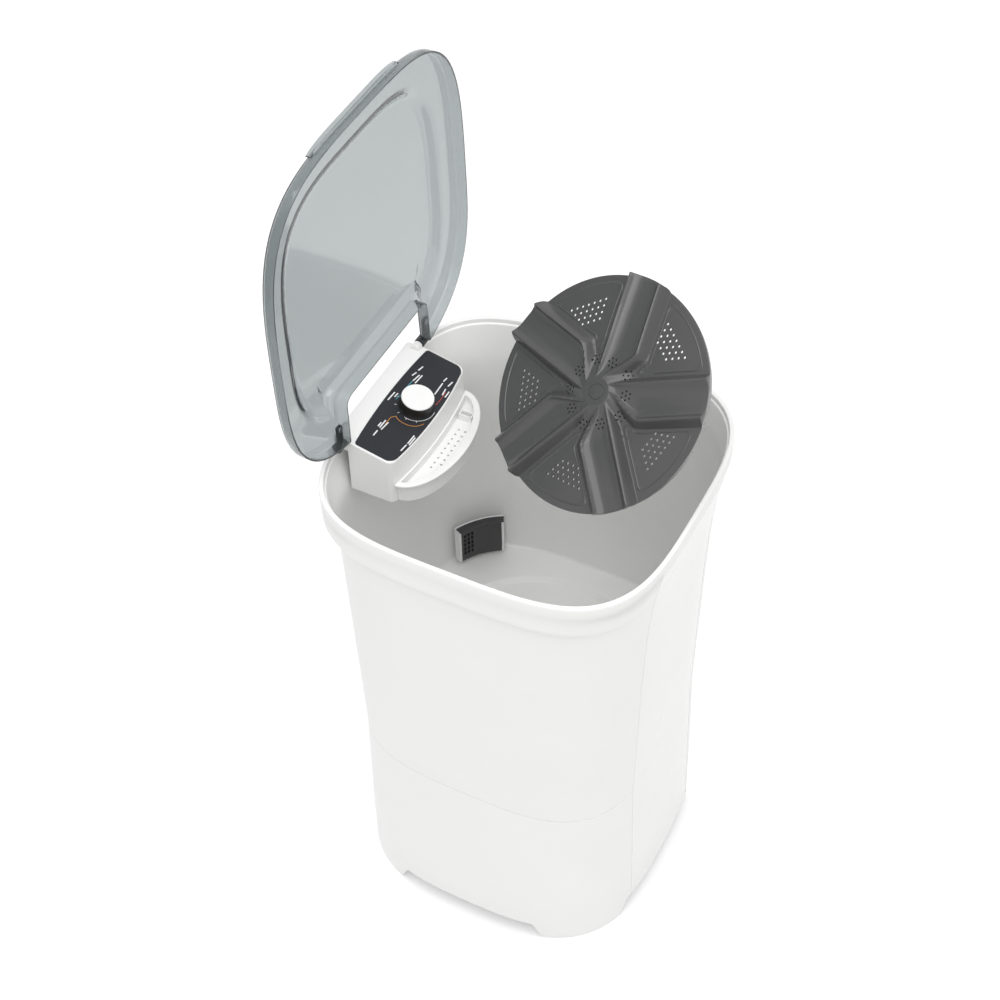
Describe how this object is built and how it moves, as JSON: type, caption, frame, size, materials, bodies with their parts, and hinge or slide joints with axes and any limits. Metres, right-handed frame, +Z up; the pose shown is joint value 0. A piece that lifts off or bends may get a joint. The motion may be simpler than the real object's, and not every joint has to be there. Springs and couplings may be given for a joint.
{
  "type": "top-loading washing machine",
  "caption": "Top-loading washing machine: moulded tank on a skirted base, smoked lid standing open, dial console, lint filter and a vaned agitator lifted out",
  "frame": {"origin": "On the floor under the drive shaft's axis, in the plane of the rubber feet", "axes": "+Z up along the drive axis, -Y out of the front with its panel, +Y out of the hinge and console side, +X to the right for someone facing the front"},
  "size_m": [0.57, 0.592, 1.5801],
  "materials": {
    "tank_plastic": "satin white polypropylene moulding",
    "panel_plastic": "glossy white plastic panel",
    "cover_plastic": "plain light plastic sheet",
    "foot_rubber": "black rubber",
    "zinc_steel": "zinc plated sheet steel",
    "cast_alloy": "cast aluminium alloy",
    "bushing": "sintered bronze",
    "seal_rubber": "black nitrile rubber",
    "motor_paint": "dark enamel on steel",
    "belt_rubber": "black belt rubber",
    "capacitor_case": "plain plastic case",
    "grey_plastic": "grey plastic",
    "dark_plastic": "dark grey plastic",
    "console_plastic": "white plastic moulding",
    "label_sheet": "dark glossy film with plain dial marks",
    "timer_case": "cream plastic case",
    "screw_steel": "plated steel",
    "shaft_steel": "ground steel",
    "fan_plastic": "natural nylon",
    "knob_black": "black plastic",
    "knob_white": "white plastic",
    "lid_plastic": "smoked translucent plastic",
    "filter_plastic": "dark grey plastic",
    "mesh_fabric": "fine nylon mesh",
    "agitator_plastic": "dark grey plastic"
  },
  "bodies": {
    "cabinet": {"tank": "tank_plastic", "base_skirt": "tank_plastic", "front_panel": "panel_plastic", "rear_cover": "cover_plastic", "foot_pads": "foot_rubber", "drive_bracket": "zinc_steel", "bearing_housing": "cast_alloy", "upper_bearing": "bushing", "lower_bearing": "bushing", "shaft_seal": "seal_rubber", "motor_housing": "motor_paint", "motor_end_cap": "cast_alloy", "v_belt": "belt_rubber", "capacitor": "capacitor_case", "capacitor_clip": "zinc_steel", "drain_elbow": "grey_plastic", "drain_grille": "grey_plastic", "cord_gland": "dark_plastic", "console_housing": "console_plastic", "console_label": "label_sheet", "timer_body": "timer_case", "hinge_pins": "dark_plastic", "filter_frame": "console_plastic", "cover_screws": "screw_steel", "flange_bolts": "screw_steel", "motor_bolts": "screw_steel"},
    "drive": {"drive_shaft": "shaft_steel", "driven_pulley": "cast_alloy", "pulley_nut": "screw_steel"},
    "rotor": {"motor_shaft": "shaft_steel", "motor_pulley": "cast_alloy", "motor_fan": "fan_plastic"},
    "dial": {"timer_shaft": "shaft_steel", "knob": "knob_black", "knob_cap": "knob_white"},
    "lid_assembly": {"lid": "lid_plastic", "lid_grip": "lid_plastic", "hinge_arms": "dark_plastic", "arm_screws": "screw_steel"},
    "dispenser": {"dispenser_cup": "console_plastic", "softener_chute": "console_plastic"},
    "filter": {"lint_filter": "filter_plastic", "filter_mesh": "mesh_fabric"},
    "agitator_carrier": {"agitator_cap": "agitator_plastic"},
    "agitator_disc": {"agitator": "agitator_plastic", "agitator_insert": "cast_alloy"}
  },
  "joints": [
    {"name": "lid_hinge", "type": "hinge", "parent": "cabinet", "child": "lid_assembly", "pos_m": [0, 0.268, 1.011], "axis": [1, 0, 0], "range_deg": [0, 91]},
    {"name": "motor_spin", "type": "hinge", "parent": "cabinet", "child": "rotor", "pos_m": [0, 0.15, 0.33], "axis": [0, 0, 1], "continuous": true},
    {"name": "drive_spin", "type": "hinge", "parent": "cabinet", "child": "drive", "pos_m": [0, 0, 0.35], "axis": [0, 0, 1], "continuous": true},
    {"name": "agitator_return", "type": "hinge", "parent": "cabinet", "child": "agitator_carrier", "pos_m": [-0.78574, 0.23002, 0.87893], "axis": [-0.3413, -0.9317, -0.1244], "range_deg": [-44.06, 0]},
    {"name": "agitator_spin", "type": "hinge", "parent": "agitator_carrier", "child": "agitator_disc", "pos_m": [0.0395, -0.106, 1.1315], "axis": [-0.636, 0.2699, 0.723], "continuous": true},
    {"name": "knob_turn", "type": "hinge", "parent": "cabinet", "child": "dial", "pos_m": [0.004, 0.207, 0.99928], "axis": [0, -0.2057, 0.9786], "range_deg": [-300, 0]},
    {"name": "dispenser_lift", "type": "slide", "parent": "cabinet", "child": "dispenser", "axis": [0, 0, 1], "range_m": [0, 0.025]},
    {"name": "filter_lift", "type": "slide", "parent": "cabinet", "child": "filter", "axis": [0, 0, 1], "range_m": [0, 0.06]}
  ],
  "couplings": [
    {"joint": "drive_spin", "follows": "motor_spin", "ratio": 0.23754},
    {"joint": "agitator_spin", "follows": "motor_spin", "ratio": 0.23754},
    {"joint": "agitator_return", "follows": "lid_hinge", "ratio": -0.48417}
  ]
}
